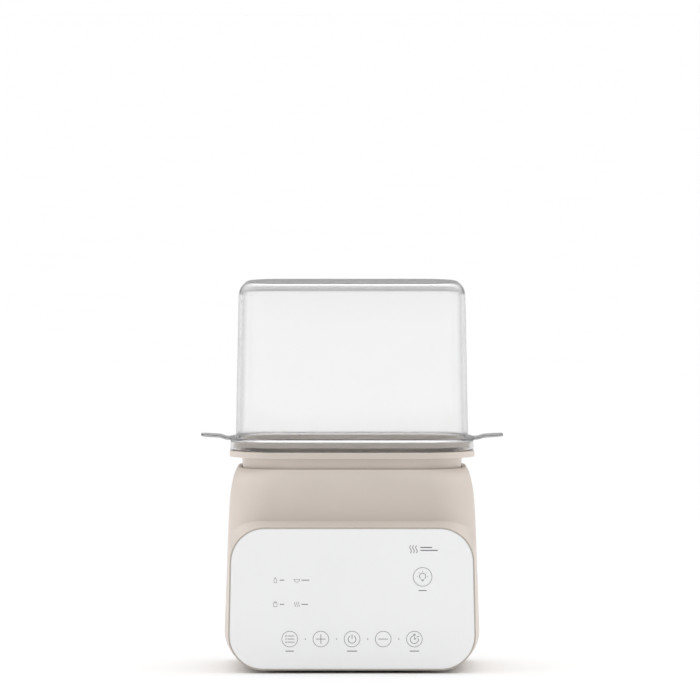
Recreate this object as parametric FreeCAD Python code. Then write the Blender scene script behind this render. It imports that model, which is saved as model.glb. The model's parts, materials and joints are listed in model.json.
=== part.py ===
"""Steam bottle sterilizer: heated base, hanging basket and clear lid, one solid per real piece.

Millimetres, +Z up. The origin is on the table, at the centre of the base's footprint; the
control panel faces -Y. The pieces stand as in use: the basket hangs in the water tank and the
lid lies on the basket's rim.
"""
import FreeCAD, Part
import math
import os

V = FreeCAD.Vector

# ---- driving dimensions -------------------------------------------------------------------
# "hx" is a half width along X, "hy" a half depth along Y about the pot's centre line POT_Y.
FRONT_Y = -85.5            # face of the control panel
POT_Y = 6.5                # centre line of tank, basket and lid, behind the deep control panel

FOOT_H = 2.0               # how far the feet lift the body
BODY_FLOOR = FOOT_H
BODY_TOP = 178.0           # upper edge of the body's opening
BODY_HX = 112.7            # body's full size, low down
BODY_HY = 79.0
BODY_CORNER = 38.0         # plan corner radius low down
BODY_LEAN = 0.035          # inward draft of the walls, per millimetre of height
SHOULDER_X = 7.0           # how much more the body draws in at its opening
SHOULDER_Y = 9.0
SHOULDER_CORNER = 6.0
SHOULDER_FADE = 11.0       # height in which the shoulder's curve dies away
SHOULDER_STEPS = 18
BODY_LIP_ROUND = 1.6
SIDE_ROUND_Z = 34.0        # height where the sides begin to round under
END_ROUND_Z = 16.0         # the same for front and back
WALL = 2.5                 # body's wall
CAVITY_FLOOR = 6.5
BEYOND = 150.0             # reach of a cut that goes past everything

SLAB_HX = 108.3            # raised front slab that carries the panel, half width halfway up
SLAB_Z0 = 2.7
SLAB_Z1 = 128.6
SLAB_CORNER = 30.8
SLAB_LEAN = 0.022          # inward lean of its sides, per millimetre of height
SLAB_BACK_Y = -34.0        # where its sides meet the body's flat sides
SLAB_BACK_INSET = 0.3      # how far they then lie inside the body's
SLAB_SLOPE = 0.31          # rise of its upper ledge towards the body
PANEL_T = 2.1
PANEL_LIP = 1.3            # trim that shows round the panel
PANEL_EDGE = 0.7
TRIM_RECESS = 0.3
TRIM_GAP = 0.1             # play round the trim

RIM_TOP = 193.0            # water tank
RIM_T = 5.4
RIM_EAR_HX = 108.6
RIM_NOTCH_HX = 100.5
RIM_HY = 64.5
RIM_CORNER = 43.0
RIM_EDGE = 1.0
NECK_HX = 97.4
NECK_HY = 61.4
NECK_CORNER = 43.0
NECK_LEAN = 0.052          # inward draft of the neck, per millimetre of height
NECK_FOOT = 170.5          # lower edge of the neck, on the body's inner ledge
NECK_WALL = 2.2
NECK_GAP = 0.5             # between the neck and the body's lip
MOUTH_HX = 91.4
MOUTH_HY = 55.7
MOUTH_CORNER = 37.8
MOUTH_WALL = 1.8
TANK_LEDGE = 188.0         # the basket's collar stands on this ledge
TANK_HX = 89.6
TANK_HY = 53.9
TANK_CORNER = 36.0
TANK_LEAN = 0.0177
TANK_FLOOR = 69.0
TANK_FLOOR_T = 3.0
TANK_UNDER = TANK_FLOOR - TANK_FLOOR_T
TANK_WALL = 2.2
TANK_SIDE_ROUND_Z = 89.0
TANK_END_ROUND_Z = 79.0

NOTCH_HALF = 21.5          # half width of the notches that the lid's tabs stand over
HORN_ROUND = 4.0
NOTCH_ROUND = 3.0

FLANGE_Z0 = 196.5          # basket
FLANGE_TOP = 201.6
FLANGE_HORN_HX = 105.0
FLANGE_NOTCH_HX = 96.7
FLANGE_HY = 61.0
FLANGE_CORNER = 42.0
FLANGE_EDGE = 0.9
COLLAR_HX = 90.6
COLLAR_HY = 54.9
COLLAR_CORNER = 37.0
COLLAR_DRAFT = 0.5
COLLAR_STEP = 1.6
COLLAR_CHAMFER = 2.6       # under the flange
COLLAR_WALL = 2.0
STEP_FLOOR = 191.0         # small ledge inside, where the collar steps in to the walls
SEAT_DEPTH = 1.3           # recess round the mouth
SEAT_W = 4.0
FUNNEL_W = 2.2
BASKET_LEAN = 0.0263
BASKET_BOTTOM = 77.9
BASKET_WALL = 1.9
BASKET_FLOOR = 82.1
BASKET_SIDE_ROUND_Z = 100.9
BASKET_END_ROUND_Z = 87.9
WINDOW_PITCH = 39.3
WINDOW_TOP = 179.7
WINDOW_HALF_TOP = 9.3
WINDOW_HALF_LOW = 10.3
WINDOW_ARCH = 8.4
WINDOW_SILL = 0.7          # height of a window's foot above the basket's floor
SLOT_PITCH_X = 12.0
SLOT_PITCH_Y = 16.6
SLOT_W = 6.8
SLOT_L = 11.0
SLOT_COLUMNS = 12
SLOT_ROWS = 6
END_CUT_X = 62.0           # how near the middle the end windows run in through the floor

LID_TOP = 342.0            # lid
LID_HX = 103.0
LID_HY = 60.0
LID_CORNER = 38.0
LID_DRAFT = 2.8
LID_EDGE = 11.5
LID_WALL = 2.0
SKIRT_HX = 107.6
SKIRT_HY = 64.5
SKIRT_CORNER = 42.5
SKIRT_FOOT = 193.3
SKIRT_EDGE = 0.7
LEDGE_EDGE = 1.6
TAB_END = 134.0
TAB_HALF = 18.0
TAB_CORNER = 10.0
TAB_T = 1.8

PLATE_R = 49.0             # heater parts under the tank
PLATE_DOME_R = 41.0
PLATE_T = 1.2
PLATE_ROUND = 2.0
PLATE_TOP = 68.0
PLATE_FLANGE_Z = TANK_UNDER - 3.0
PLATE_UNDER = PLATE_TOP - PLATE_T
TANK_HOLE_R = 42.0
SEAL_T = 1.8
SEAL_R = 48.6
SEAL_BORE_R = 42.6
CLAMP_R = 58.0             # circle of the clamp's four screws
CLAMP_T = 1.5
CLAMP_RING_R = 55.0
CLAMP_BORE_R = 44.0
CLAMP_EAR_R = 5.0
CLAMP_BOSS_R = 4.0
CLAMP_HOLE_R = 1.4
HEATER_R = 28.0
HEATER_TUBE_R = 3.2
HEATER_END_X = 9.0         # half the distance between its cold ends
HEATER_END_Z = 50.0        # where they stop, with the terminal pins below
HEATER_PIN_R = 1.1
HEATER_PIN_Z = 43.0
SPREADER_T = 2.5
SPREADER_UNDER = PLATE_UNDER - SPREADER_T
SPREADER_R = 23.5
SPREADER_BORE_R = 3.0
STAT_DY = -4.0             # thermostat, in front of the centre
STAT_R = 8.5
STAT_H = 6.0
STAT_FLANGE_T = 1.4
FUSE_DY = 14.5             # thermal fuse, behind the centre
FUSE_R = 1.9
FUSE_L = 11.0
FUSE_LEAD_R = 0.5
FUSE_LEAD_L = 9.0
CLIP_R = 3.0
CLIP_T = 0.9

COVER_HX = 76.0            # bottom cover and what stands on it
COVER_HY = 60.0
COVER_CORNER = 24.0
COVER_TOP = 4.5
COVER_LEDGE = 4.0          # width of the ledge that the cover lies against
COVER_GAP = 0.3
FOOT_X = 61.0
FOOT_DY = 45.0
FOOT_R = 9.0
POST_X = 66.0
POST_DY = 22.0
POST_R = 5.0
POST_HOLE_R = 1.6
POST_HOLE_DEPTH = 14.0
SCREW_SINK = 1.2           # depth of the countersunk seats under the cover
BOARD_Z = 12.0
BOARD_T = 1.6
BOARD_X = 42.0             # half width of the power board
BOARD_Y0 = 4.0
BOARD_Y1 = 60.0
BOARD_TOP = BOARD_Z + BOARD_T

BUTTON_PITCH = 27.4        # touch controls, on the panel's centre line
BUTTON_Z = 30.4
LAMP_X = 62.0
LAMP_Z = 85.2
MODE_X = (-64.5, -45.4)
MODE_Z = (61.0, 82.3)
DISPLAY_Z = 72.0
CONTROL_Y = -78.0          # front face of the control board
CONTROL_HX = 92.0
CONTROL_Z0 = 14.0
CONTROL_Z1 = 118.0
CONTROL_BACK = CONTROL_Y + BOARD_T
GUIDE_HX = 82.0            # opening behind the panel, for the light guide
GUIDE_Z0 = 20.0
GUIDE_Z1 = 112.0
GUIDE_CORNER = 8.0
SCREW_HOLE_R = 1.2
CONTROL_BOSS_R = 3.4
FRONT_SKIN = 1.2           # plastic left in front of the control board's screw holes

INLET_X = 40.0             # mains inlet in the back wall
INLET_Z = 25.0
INLET_HX = 12.0
INLET_HZ = 7.5
INLET_BACK = 85.2          # its outer face
INLET_COLLAR_Y = 82.8      # its collar bears on the wall from inside
INLET_CORNER = 3.0
INLET_DEPTH = 15.2
PIN_DX = 4.3
PIN_R = 1.2
PIN_L = 20.0
PIN_RECESS = 2.7           # of their tips behind the inlet's face


# ---- plain shapes -------------------------------------------------------------------------
def block(x0, x1, y0, y1, z0, z1):
    return Part.makeBox(x1 - x0, y1 - y0, z1 - z0, V(x0, y0, z0))


def rod(r, z0, z1, x, y):
    return Part.makeCylinder(r, z1 - z0, V(x, y, z0))


def rod_x(r, x0, x1, y, z):
    return Part.makeCylinder(r, x1 - x0, V(x0, y, z), V(1, 0, 0))


def rod_y(r, y0, y1, x, z):
    return Part.makeCylinder(r, y1 - y0, V(x, y0, z), V(0, 1, 0))


def tube(r_out, r_in, z0, z1, x, y):
    return rod(r_out, z0, z1, x, y).cut(rod(r_in, z0, z1, x, y))


def union(first, *others):
    return first.fuse(list(others)).removeSplitter()


def group(solids):
    return Part.makeCompound(solids)


def rounded_wire(place, corners, r):
    """Convex outline with rounded corners; place turns plane coordinates into a point."""
    arcs = []
    for i, (x, y) in enumerate(corners):
        corner = V(x, y, 0)
        before = (V(*corners[i - 1], 0) - corner).normalize()
        after = (V(*corners[(i + 1) % len(corners)], 0) - corner).normalize()
        half = before.getAngle(after) / 2
        inward = (before + after).normalize()
        centre = corner + inward * (r / math.sin(half))
        reach = r / math.tan(half)
        points = (corner + before * reach, centre - inward * r, corner + after * reach)
        arcs.append(Part.Arc(*[place(p.x, p.y) for p in points]).toShape())
    edges = []
    for i, arc in enumerate(arcs):
        edges.append(arc)
        following = arcs[(i + 1) % len(arcs)]
        edges.append(Part.makeLine(arc.Vertexes[-1].Point, following.Vertexes[0].Point))
    return Part.Wire(edges)


def level_wire(hx, hy, r, z):
    """Rounded rectangle lying level about the pot's centre line."""
    corners = [(hx, hy), (-hx, hy), (-hx, -hy), (hx, -hy)]
    return rounded_wire(lambda x, y: V(x, y + POT_Y, z), corners, r)


def upright_wire(hx, z0, z1, r, y, lean=0.0):
    """Rounded outline standing in a plane of constant y; hx is its half width halfway up."""
    more = lean * (z1 - z0) / 2
    corners = [(hx - more, z1), (-hx + more, z1), (-hx - more, z0), (hx + more, z0)]
    return rounded_wire(lambda x, z: V(x, y, z), corners, r)


def plate(hx, hy, r, z0, z1):
    return Part.Face(level_wire(hx, hy, r, z0)).extrude(V(0, 0, z1 - z0))


def upright_plate(hx, z0, z1, r, y0, y1, lean=0.0):
    return Part.Face(upright_wire(hx, z0, z1, r, y0, lean)).extrude(V(0, y1 - y0, 0))


def loft(wires, ruled=False):
    return Part.makeLoft(wires, True, ruled)


def vertical_edges(shape, x_min):
    """Straight upright edges further than x_min from the middle plane."""
    found = []
    for edge in shape.Edges:
        low = edge.BoundBox
        if low.XLength + low.YLength < 0.01 and abs(low.XMin) > x_min:
            found.append(edge)
    return found


def edges_at(shape, z):
    """Edges that lie level at a height."""
    found = []
    for edge in shape.Edges:
        box = edge.BoundBox
        if abs(box.ZMin - z) < 0.01 and abs(box.ZMax - z) < 0.01:
            found.append(edge)
    return found


def outermost(edges, x_min, dy_min):
    """Of some level edges, those round the outside: beyond x_min or dy_min from the centre."""
    found = []
    for edge in edges:
        middle = edge.CenterOfMass
        if abs(middle.x) > x_min or abs(middle.y - POT_Y) > dy_min:
            found.append(edge)
    return found


def tuck(z, centre, radius):
    """How far a wall has rounded under at height z, below the centre of its round."""
    if z >= centre:
        return 0.0
    drop = min(centre - z, radius)
    return radius - math.sqrt(radius * radius - drop * drop)


def round_heights(centre, floor):
    """Heights down a quarter round, closer together where it runs level."""
    radius = centre - floor
    return [centre - radius * math.sin(math.radians(a)) for a in (0, 15, 30, 42, 54, 65, 75, 83, 90)]


def notch_edges(shape, x_low, x_high):
    """Upright edges of the notches' corners, between two distances from the middle plane."""
    found = []
    for edge in vertical_edges(shape, x_low):
        middle = edge.CenterOfMass
        if abs(middle.x) < x_high and abs(abs(middle.y - POT_Y) - NOTCH_HALF) < 0.1:
            found.append(edge)
    return found


def horned_plate(horn_hx, notch_hx, hy, corner, z0, z1):
    """Level plate whose short sides have a notch between two rounded horns."""
    shape = plate(horn_hx, hy, corner, z0, z1)
    for side in (-1, 1):
        near = min(side * notch_hx, side * BEYOND)
        far = max(side * notch_hx, side * BEYOND)
        shape = shape.cut(block(near, far, POT_Y - NOTCH_HALF, POT_Y + NOTCH_HALF, z0 - 1, z1 + 1))
    shape = shape.makeFillet(NOTCH_ROUND, notch_edges(shape, notch_hx - 0.1, notch_hx + 0.1))
    return shape.makeFillet(HORN_ROUND, notch_edges(shape, notch_hx + NOTCH_ROUND + 0.1, horn_hx + 1))


def tub(z_top, z_floor, size, lean, side_round_z, end_round_z):
    """Solid tub: leaning walls that round under to a flat floor. size is hx, hy, corner at z_top."""
    hx, hy, corner = size
    heights = [z_top] + round_heights(side_round_z, z_floor)
    wires = []
    for z in heights:
        shrink = lean * (z_top - z)
        side = tuck(z, side_round_z, side_round_z - z_floor)
        end = tuck(z, end_round_z, end_round_z - z_floor)
        wires.append(level_wire(hx - shrink - side, hy - shrink - end, corner - shrink - end, z))
    upper = loft(wires[:2], True)
    lower = loft(wires[1:])
    return union(upper, lower)


# ---- body ---------------------------------------------------------------------------------
def lean_in(z):
    """How far the body's walls have drawn in at height z."""
    return BODY_LEAN * max(0.0, z - SIDE_ROUND_Z)


def body_section(z, wall, floor):
    """Wire of the body at height z, moved in by a wall."""
    fade = math.exp((z - BODY_TOP) / SHOULDER_FADE)
    side = tuck(z, SIDE_ROUND_Z, SIDE_ROUND_Z - floor)
    end = tuck(z, END_ROUND_Z, END_ROUND_Z - floor)
    hx = BODY_HX - lean_in(z) - SHOULDER_X * fade - wall - side
    hy = BODY_HY - lean_in(z) - SHOULDER_Y * fade - wall - end
    return level_wire(hx, hy, BODY_CORNER + SHOULDER_CORNER * fade - wall - end, z)


def body_form(wall, floor):
    """Body's outer form, or with a wall its cavity."""
    step = (BODY_TOP - SIDE_ROUND_Z) / SHOULDER_STEPS
    shoulder = [body_section(BODY_TOP - step * i, wall, floor) for i in range(SHOULDER_STEPS + 1)]
    under = [body_section(z, wall, floor) for z in round_heights(SIDE_ROUND_Z, floor)]
    return union(loft(shoulder), loft(under))


def slab_outline(inset, y):
    """Outline of the slab's front, moved in by inset."""
    lean = SLAB_LEAN
    return upright_wire(SLAB_HX - inset, SLAB_Z0 + inset, SLAB_Z1 - inset, SLAB_CORNER - inset, y, lean)


def slab_plate(inset, y0, y1):
    return Part.Face(slab_outline(inset, y0)).extrude(V(0, y1 - y0, 0))


def slab_form(inset, y_front):
    """Raised slab in front: its sides widen into the body's, its upper ledge slopes back."""
    middle = (SLAB_Z0 + SLAB_Z1) / 2
    hx = BODY_HX - lean_in(middle) - SLAB_BACK_INSET - inset
    top = SLAB_Z1 - inset + SLAB_SLOPE * (SLAB_BACK_Y - y_front)
    back = upright_wire(hx, SLAB_Z0 + inset, top, SLAB_CORNER - inset, SLAB_BACK_Y, BODY_LEAN)
    return loft([slab_outline(inset, y_front), back], True)


def make_body_lip():
    """Thick upper edge that closes in to the tank's neck, and the ledge that carries the neck."""
    gap = NECK_GAP
    across = 2 * BEYOND
    lip = block(-BEYOND, BEYOND, -BEYOND, BEYOND, NECK_FOOT - WALL, BODY_TOP)
    lip = lip.cut(plate(NECK_HX + gap, NECK_HY + gap, NECK_CORNER + gap, NECK_FOOT, NECK_FOOT + across))
    inner = WALL + gap
    low = NECK_FOOT - across
    return lip.cut(plate(NECK_HX - inner, NECK_HY - inner, NECK_CORNER - inner, low, NECK_FOOT + 1))


def make_body_shell():
    slab_face = FRONT_Y + PANEL_T
    inside = slab_face + WALL
    shape = body_form(0, BODY_FLOOR).fuse(slab_form(0, slab_face))
    shape = shape.makeFillet(BODY_LIP_ROUND, edges_at(shape, BODY_TOP))
    shape = shape.cut(body_form(WALL, CAVITY_FLOOR).cut(make_body_lip()))
    above_floor = block(-BEYOND, BEYOND, -BEYOND, BEYOND, CAVITY_FLOOR, BEYOND)
    shape = shape.cut(slab_form(WALL, inside).common(above_floor))
    shape = shape.cut(plate(COVER_HX, COVER_HY, COVER_CORNER, 0, COVER_TOP))
    less = COVER_LEDGE
    shape = shape.cut(plate(COVER_HX - less, COVER_HY - less, COVER_CORNER - less, 0, CAVITY_FLOOR + 1))
    shape = shape.cut(upright_plate(GUIDE_HX, GUIDE_Z0, GUIDE_Z1, GUIDE_CORNER, FRONT_Y, inside + 1))
    low = INLET_Z - INLET_HZ
    high = INLET_Z + INLET_HZ
    inlet = upright_plate(INLET_HX, low, high, INLET_CORNER, INLET_BACK - INLET_DEPTH, BEYOND)
    inlet.translate(V(INLET_X, 0, 0))
    shape = shape.cut(inlet)
    bosses = [rod_y(CONTROL_BOSS_R, inside - 0.1, CONTROL_Y, x, z) for x, z in control_screw_places()]
    shape = union(shape, *bosses)
    for x, z in control_screw_places():
        shape = shape.cut(rod_y(SCREW_HOLE_R, slab_face + FRONT_SKIN, CONTROL_Y + 1, x, z))
    return shape


def make_panel_trim():
    y0 = FRONT_Y + TRIM_RECESS
    y1 = FRONT_Y + PANEL_T
    return slab_plate(TRIM_GAP, y0, y1).cut(slab_plate(PANEL_LIP - TRIM_GAP / 2, y0 - 1, y1 + 1))


def make_front_panel():
    shape = slab_plate(PANEL_LIP, FRONT_Y, FRONT_Y + PANEL_T)
    edges = [e for e in shape.Edges if abs(e.BoundBox.YMax - FRONT_Y) < 0.01]
    return shape.makeFillet(PANEL_EDGE, edges)


# ---- water tank ---------------------------------------------------------------------------
def post_places():
    return [(sx * POST_X, POT_Y + sy * POST_DY) for sx in (-1, 1) for sy in (-1, 1)]


def clamp_places():
    places = []
    for turn in (45, 135, 225, 315):
        angle = math.radians(turn)
        places.append((CLAMP_R * math.cos(angle), POT_Y + CLAMP_R * math.sin(angle)))
    return places


def tank_neck():
    """Hollow neck below the rim, drawn in slightly towards its foot."""
    top = RIM_TOP - RIM_T
    drop = NECK_LEAN * (top - NECK_FOOT)
    low = drop + NECK_WALL
    outer = loft([level_wire(NECK_HX, NECK_HY, NECK_CORNER, top + 0.5),
                  level_wire(NECK_HX - drop, NECK_HY - drop, NECK_CORNER - drop, NECK_FOOT)], True)
    inner = loft([level_wire(NECK_HX - NECK_WALL, NECK_HY - NECK_WALL, NECK_CORNER - NECK_WALL, top),
                  level_wire(NECK_HX - low, NECK_HY - low, NECK_CORNER - low, NECK_FOOT - 1)], True)
    return outer.cut(inner)


def tank_pot(wall, z_top, z_floor):
    """Tank's water space, or with a wall its outside."""
    size = (TANK_HX + wall, TANK_HY + wall, TANK_CORNER + wall)
    return tub(z_top, z_floor, size, TANK_LEAN, TANK_SIDE_ROUND_Z, TANK_END_ROUND_Z)


def make_water_tank():
    rim = horned_plate(RIM_EAR_HX, RIM_NOTCH_HX, RIM_HY, RIM_CORNER, RIM_TOP - RIM_T, RIM_TOP)
    rim = rim.makeFillet(RIM_EDGE, outermost(edges_at(rim, RIM_TOP), 60, 40))
    grow = MOUTH_WALL
    low = TANK_LEDGE - 2 * MOUTH_WALL
    collar = plate(MOUTH_HX + grow, MOUTH_HY + grow, MOUTH_CORNER + grow, low, RIM_TOP - 2)
    shape = union(rim, tank_neck(), tank_pot(TANK_WALL, RIM_TOP - 2, TANK_UNDER), collar)
    shape = shape.cut(plate(MOUTH_HX, MOUTH_HY, MOUTH_CORNER, TANK_LEDGE, RIM_TOP + 1))
    shape = shape.cut(tank_pot(0, TANK_LEDGE, TANK_FLOOR))
    shape = shape.cut(rod(TANK_HOLE_R, TANK_UNDER - 1, TANK_FLOOR + 1, 0, POT_Y))
    posts = [rod(POST_R, COVER_TOP, TANK_UNDER + 0.5, x, y) for x, y in post_places()]
    bosses = [rod(CLAMP_BOSS_R, PLATE_FLANGE_Z, TANK_UNDER + 0.5, x, y) for x, y in clamp_places()]
    shape = union(shape, *posts, *bosses)
    for x, y in post_places():
        shape = shape.cut(rod(POST_HOLE_R, COVER_TOP - 1, COVER_TOP + POST_HOLE_DEPTH, x, y))
    for x, y in clamp_places():
        shape = shape.cut(rod(CLAMP_HOLE_R, PLATE_FLANGE_Z - 1, TANK_UNDER + 0.8, x, y))
    return shape


# ---- heater -------------------------------------------------------------------------------
def make_heating_plate():
    """Top-hat disc whose dome fills the hole in the tank's floor."""
    z = PLATE_FLANGE_Z
    shape = union(rod(PLATE_R, z, z + PLATE_T, 0, POT_Y), rod(PLATE_DOME_R, z, PLATE_TOP, 0, POT_Y))
    shape = shape.makeFillet(PLATE_ROUND, edges_at(shape, PLATE_TOP))
    return shape.cut(rod(PLATE_DOME_R - PLATE_T, z - 1, PLATE_UNDER, 0, POT_Y))


def make_plate_seal():
    return tube(SEAL_R, SEAL_BORE_R, TANK_UNDER - SEAL_T, TANK_UNDER, 0, POT_Y)


def make_clamp_ring():
    """Ring under the plate's flange, with an ear for each screw."""
    top = PLATE_FLANGE_Z
    low = top - CLAMP_T
    shape = tube(CLAMP_RING_R, CLAMP_BORE_R, low, top, 0, POT_Y)
    ears = [rod(CLAMP_EAR_R, low, top, x, y) for x, y in clamp_places()]
    shape = union(shape, *ears)
    for x, y in clamp_places():
        shape = shape.cut(rod(CLAMP_HOLE_R + 0.3, low - 1, top + 1, x, y))
    return shape


def screw(x, y, seat, reach, head_r, shank_r, head_t):
    """Screw driven upwards: its head lies under the height seat, its shank ends at reach."""
    shape = union(rod(head_r, seat - head_t, seat, x, y), rod(shank_r, seat - 0.1, reach, x, y))
    arm = head_r * 0.7
    half = 0.4
    low = seat - head_t - 1
    high = seat - head_t + 0.8
    slot = block(x - arm, x + arm, y - half, y + half, low, high)
    cross = block(x - half, x + half, y - arm, y + arm, low, high)
    return shape.cut(slot).cut(cross)


def make_clamp_screws():
    seat = PLATE_FLANGE_Z - CLAMP_T
    screws = []
    for x, y in clamp_places():
        screws.append(screw(x, y, seat, reach=seat + 4.8, head_r=2.8, shank_r=1.35, head_t=1.9))
    return group(screws)


def make_heater_element():
    """Sheathed tube bent to an open ring, its two cold ends turned down."""
    z = PLATE_UNDER - HEATER_TUBE_R
    circle = Part.makeTorus(HEATER_R, HEATER_TUBE_R, V(0, POT_Y, z))
    circle = circle.cut(block(-HEATER_END_X, HEATER_END_X, POT_Y, POT_Y + BEYOND, 0, BEYOND))
    y_end = POT_Y + math.sqrt(HEATER_R ** 2 - HEATER_END_X ** 2)
    ends = []
    pins = []
    for x in (-HEATER_END_X, HEATER_END_X):
        ends.append(rod(HEATER_TUBE_R, HEATER_END_Z, z + 2.2, x, y_end))
        pins.append(rod(HEATER_PIN_R, HEATER_PIN_Z, HEATER_END_Z + 0.2, x, y_end))
    return union(circle, *ends, *pins)


def make_heat_spreader():
    return tube(SPREADER_R, SPREADER_BORE_R, SPREADER_UNDER, PLATE_UNDER, 0, POT_Y)


def make_thermostat():
    """Snap disc cup with its flange against the spreader and two blade terminals below."""
    y = POT_Y + STAT_DY
    top = SPREADER_UNDER
    cup = rod(STAT_R, top - STAT_H, top, 0, y)
    flange = block(-12.0, 12.0, y - 3.5, y + 3.5, top - STAT_FLANGE_T, top)
    blade_top = top - STAT_H + 0.1
    blade_low = blade_top - 6.9
    blades = [block(x - 3.1, x + 3.1, y - 0.4, y + 0.4, blade_low, blade_top) for x in (-4.6, 4.6)]
    return union(cup, flange, *blades)


def make_thermal_fuse():
    y = POT_Y + FUSE_DY
    z = SPREADER_UNDER - FUSE_R - 0.1
    half = FUSE_L / 2
    body = rod_x(FUSE_R, -half, half, y, z)
    left = rod_x(FUSE_LEAD_R, -half - FUSE_LEAD_L, -half + 0.2, y, z)
    right = rod_x(FUSE_LEAD_R, half - 0.2, half + FUSE_LEAD_L, y, z)
    return union(body, left, right)


def make_temperature_sensor():
    x = 16.0
    y = POT_Y - 6.0
    top = SPREADER_UNDER
    bead = rod(3.2, top - 2.8, top, x, y)
    tail = rod(1.6, top - 9.3, top - 2.7, x, y)
    return union(bead, tail)


def make_fuse_clip():
    """Spring strap that holds the thermal fuse against the spreader."""
    y = POT_Y + FUSE_DY
    half = 2.2
    foot_z = SPREADER_UNDER - CLIP_T - 0.2
    axis_z = SPREADER_UNDER - FUSE_R - 0.1
    bridge = rod_x(CLIP_R, -half, half, y, axis_z).cut(rod_x(CLIP_R - CLIP_T, -half, half, y, axis_z))
    bridge = bridge.cut(block(-5, 5, y - 5, y + 5, foot_z, foot_z + 5))
    feet = []
    for side in (-1, 1):
        middle = y + side * 4.1
        feet.append(block(-half, half, middle - 1.7, middle + 1.7, foot_z, foot_z + CLIP_T))
    return union(bridge, *feet)


# ---- bottom cover and its electronics -----------------------------------------------------
def board_screw_places():
    return [(sx * (BOARD_X - 5), y) for sx in (-1, 1) for y in (BOARD_Y0 + 5, BOARD_Y1 - 5)]


def foot_places():
    return [(sx * FOOT_X, POT_Y + sy * FOOT_DY) for sx in (-1, 1) for sy in (-1, 1)]


def make_bottom_cover():
    gap = COVER_GAP
    shape = plate(COVER_HX - gap, COVER_HY - gap, COVER_CORNER - gap, BODY_FLOOR, COVER_TOP)
    posts = [rod(3.5, COVER_TOP - 0.5, BOARD_Z, x, y) for x, y in board_screw_places()]
    shape = union(shape, *posts)
    for x, y in foot_places():
        shape = shape.cut(rod(FOOT_R, BODY_FLOOR - 1, BODY_FLOOR + 1, x, y))
    for x, y in post_places():
        shape = shape.cut(rod(1.9, 0, COVER_TOP + 1, x, y))
        shape = shape.cut(rod(3.4, 0, BODY_FLOOR + SCREW_SINK, x, y))
    for x, y in board_screw_places():
        shape = shape.cut(rod(1.1, BOARD_Z - 6, BOARD_Z + 1, x, y))
    for i in range(9):
        x = (i - 4) * 7.0
        shape = shape.cut(block(x - 1.2, x + 1.2, POT_Y - 46, POT_Y - 20, 0, COVER_TOP + 1))
    return shape


def make_feet():
    feet = []
    for x, y in foot_places():
        foot = rod(FOOT_R - 0.1, 0, BODY_FLOOR + 1, x, y)
        feet.append(foot.makeFillet(0.8, edges_at(foot, 0)))
    return group(feet)


def make_base_screws():
    seat = BODY_FLOOR + SCREW_SINK
    screws = []
    for x, y in post_places():
        screws.append(screw(x, y, seat, reach=COVER_TOP + 12, head_r=3.2, shank_r=1.55, head_t=1.1))
    return group(screws)


def make_power_board():
    shape = block(-BOARD_X, BOARD_X, BOARD_Y0, BOARD_Y1, BOARD_Z, BOARD_TOP)
    for x, y in board_screw_places():
        shape = shape.cut(rod(1.6, BOARD_Z - 1, BOARD_Z + 3, x, y))
    return shape


def make_board_screws():
    screws = []
    top = BOARD_TOP
    for x, y in board_screw_places():
        shape = union(rod(2.6, top, top + 1.7, x, y), rod(1.05, BOARD_Z - 5, top + 0.1, x, y))
        screws.append(shape.cut(block(x - 2, x + 2, y - 0.35, y + 0.35, top + 1.0, top + 3)))
    return group(screws)


def make_relay():
    top = BOARD_TOP + 15.5
    case = block(-26, -10, 38, 57, BOARD_TOP, top)
    return case.makeFillet(0.8, edges_at(case, top))


def make_transformer():
    """Bobbin with its core through it."""
    bobbin = block(4, 24, 30, 48, BOARD_TOP, BOARD_TOP + 16)
    core = block(8.5, 19.5, 27, 51, BOARD_TOP + 3, BOARD_TOP + 13)
    return union(bobbin, core)


def make_filter_capacitor():
    top = BOARD_TOP + 21
    can = rod(6.5, BOARD_TOP, top, -4, 16)
    return can.makeFillet(0.8, edges_at(can, top))


def make_line_fuse():
    """Glass fuse between two end caps in their clips."""
    x0 = -34.0
    y = 27.0
    z = BOARD_TOP + 5
    length = 20.0
    cap_l = 4.0
    parts = [rod_x(2.6, x0 + 1, x0 + length - 1, y, z)]
    for x in (x0, x0 + length - cap_l):
        parts.append(rod_x(2.9, x, x + cap_l, y, z))
        parts.append(block(x + 1, x + 3, y - 2.5, y + 2.5, BOARD_TOP, BOARD_TOP + 3))
    return union(*parts)


def make_board_terminals():
    return group([block(x, x + 15, 9, 18, BOARD_TOP, BOARD_TOP + 10) for x in (-26, 14)])


# ---- control board behind the panel -------------------------------------------------------
def control_screw_places():
    return [(sx * 87.0, z) for sx in (-1, 1) for z in (26.0, 108.0)]


def button_places():
    return [((i - 2) * BUTTON_PITCH, BUTTON_Z) for i in range(5)]


def lamp_places():
    places = [(x, z) for x in MODE_X for z in MODE_Z]
    return places + [(LAMP_X, LAMP_Z)]


def make_light_guide():
    """Moulded frame between board and panel: pockets for the pads, lamps and display."""
    gap = 0.4
    shape = upright_plate(GUIDE_HX - gap, GUIDE_Z0 + gap, GUIDE_Z1 - gap, GUIDE_CORNER - gap,
                          FRONT_Y + PANEL_T + 0.1, CONTROL_Y - 0.1)
    for x, z in button_places():
        shape = shape.cut(rod_y(7.0, FRONT_Y, CONTROL_Y + 1, x, z))
    for x, z in lamp_places():
        shape = shape.cut(rod_y(4.5, FRONT_Y, CONTROL_Y + 1, x, z))
    return shape.cut(block(-26, 26, FRONT_Y, CONTROL_Y + 1, DISPLAY_Z - 13, DISPLAY_Z + 13))


def make_control_board():
    shape = upright_plate(CONTROL_HX, CONTROL_Z0, CONTROL_Z1, 10, CONTROL_Y, CONTROL_BACK)
    for x, z in control_screw_places():
        shape = shape.cut(rod_y(1.6, CONTROL_Y - 1, CONTROL_Y + 3, x, z))
    return shape


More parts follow.
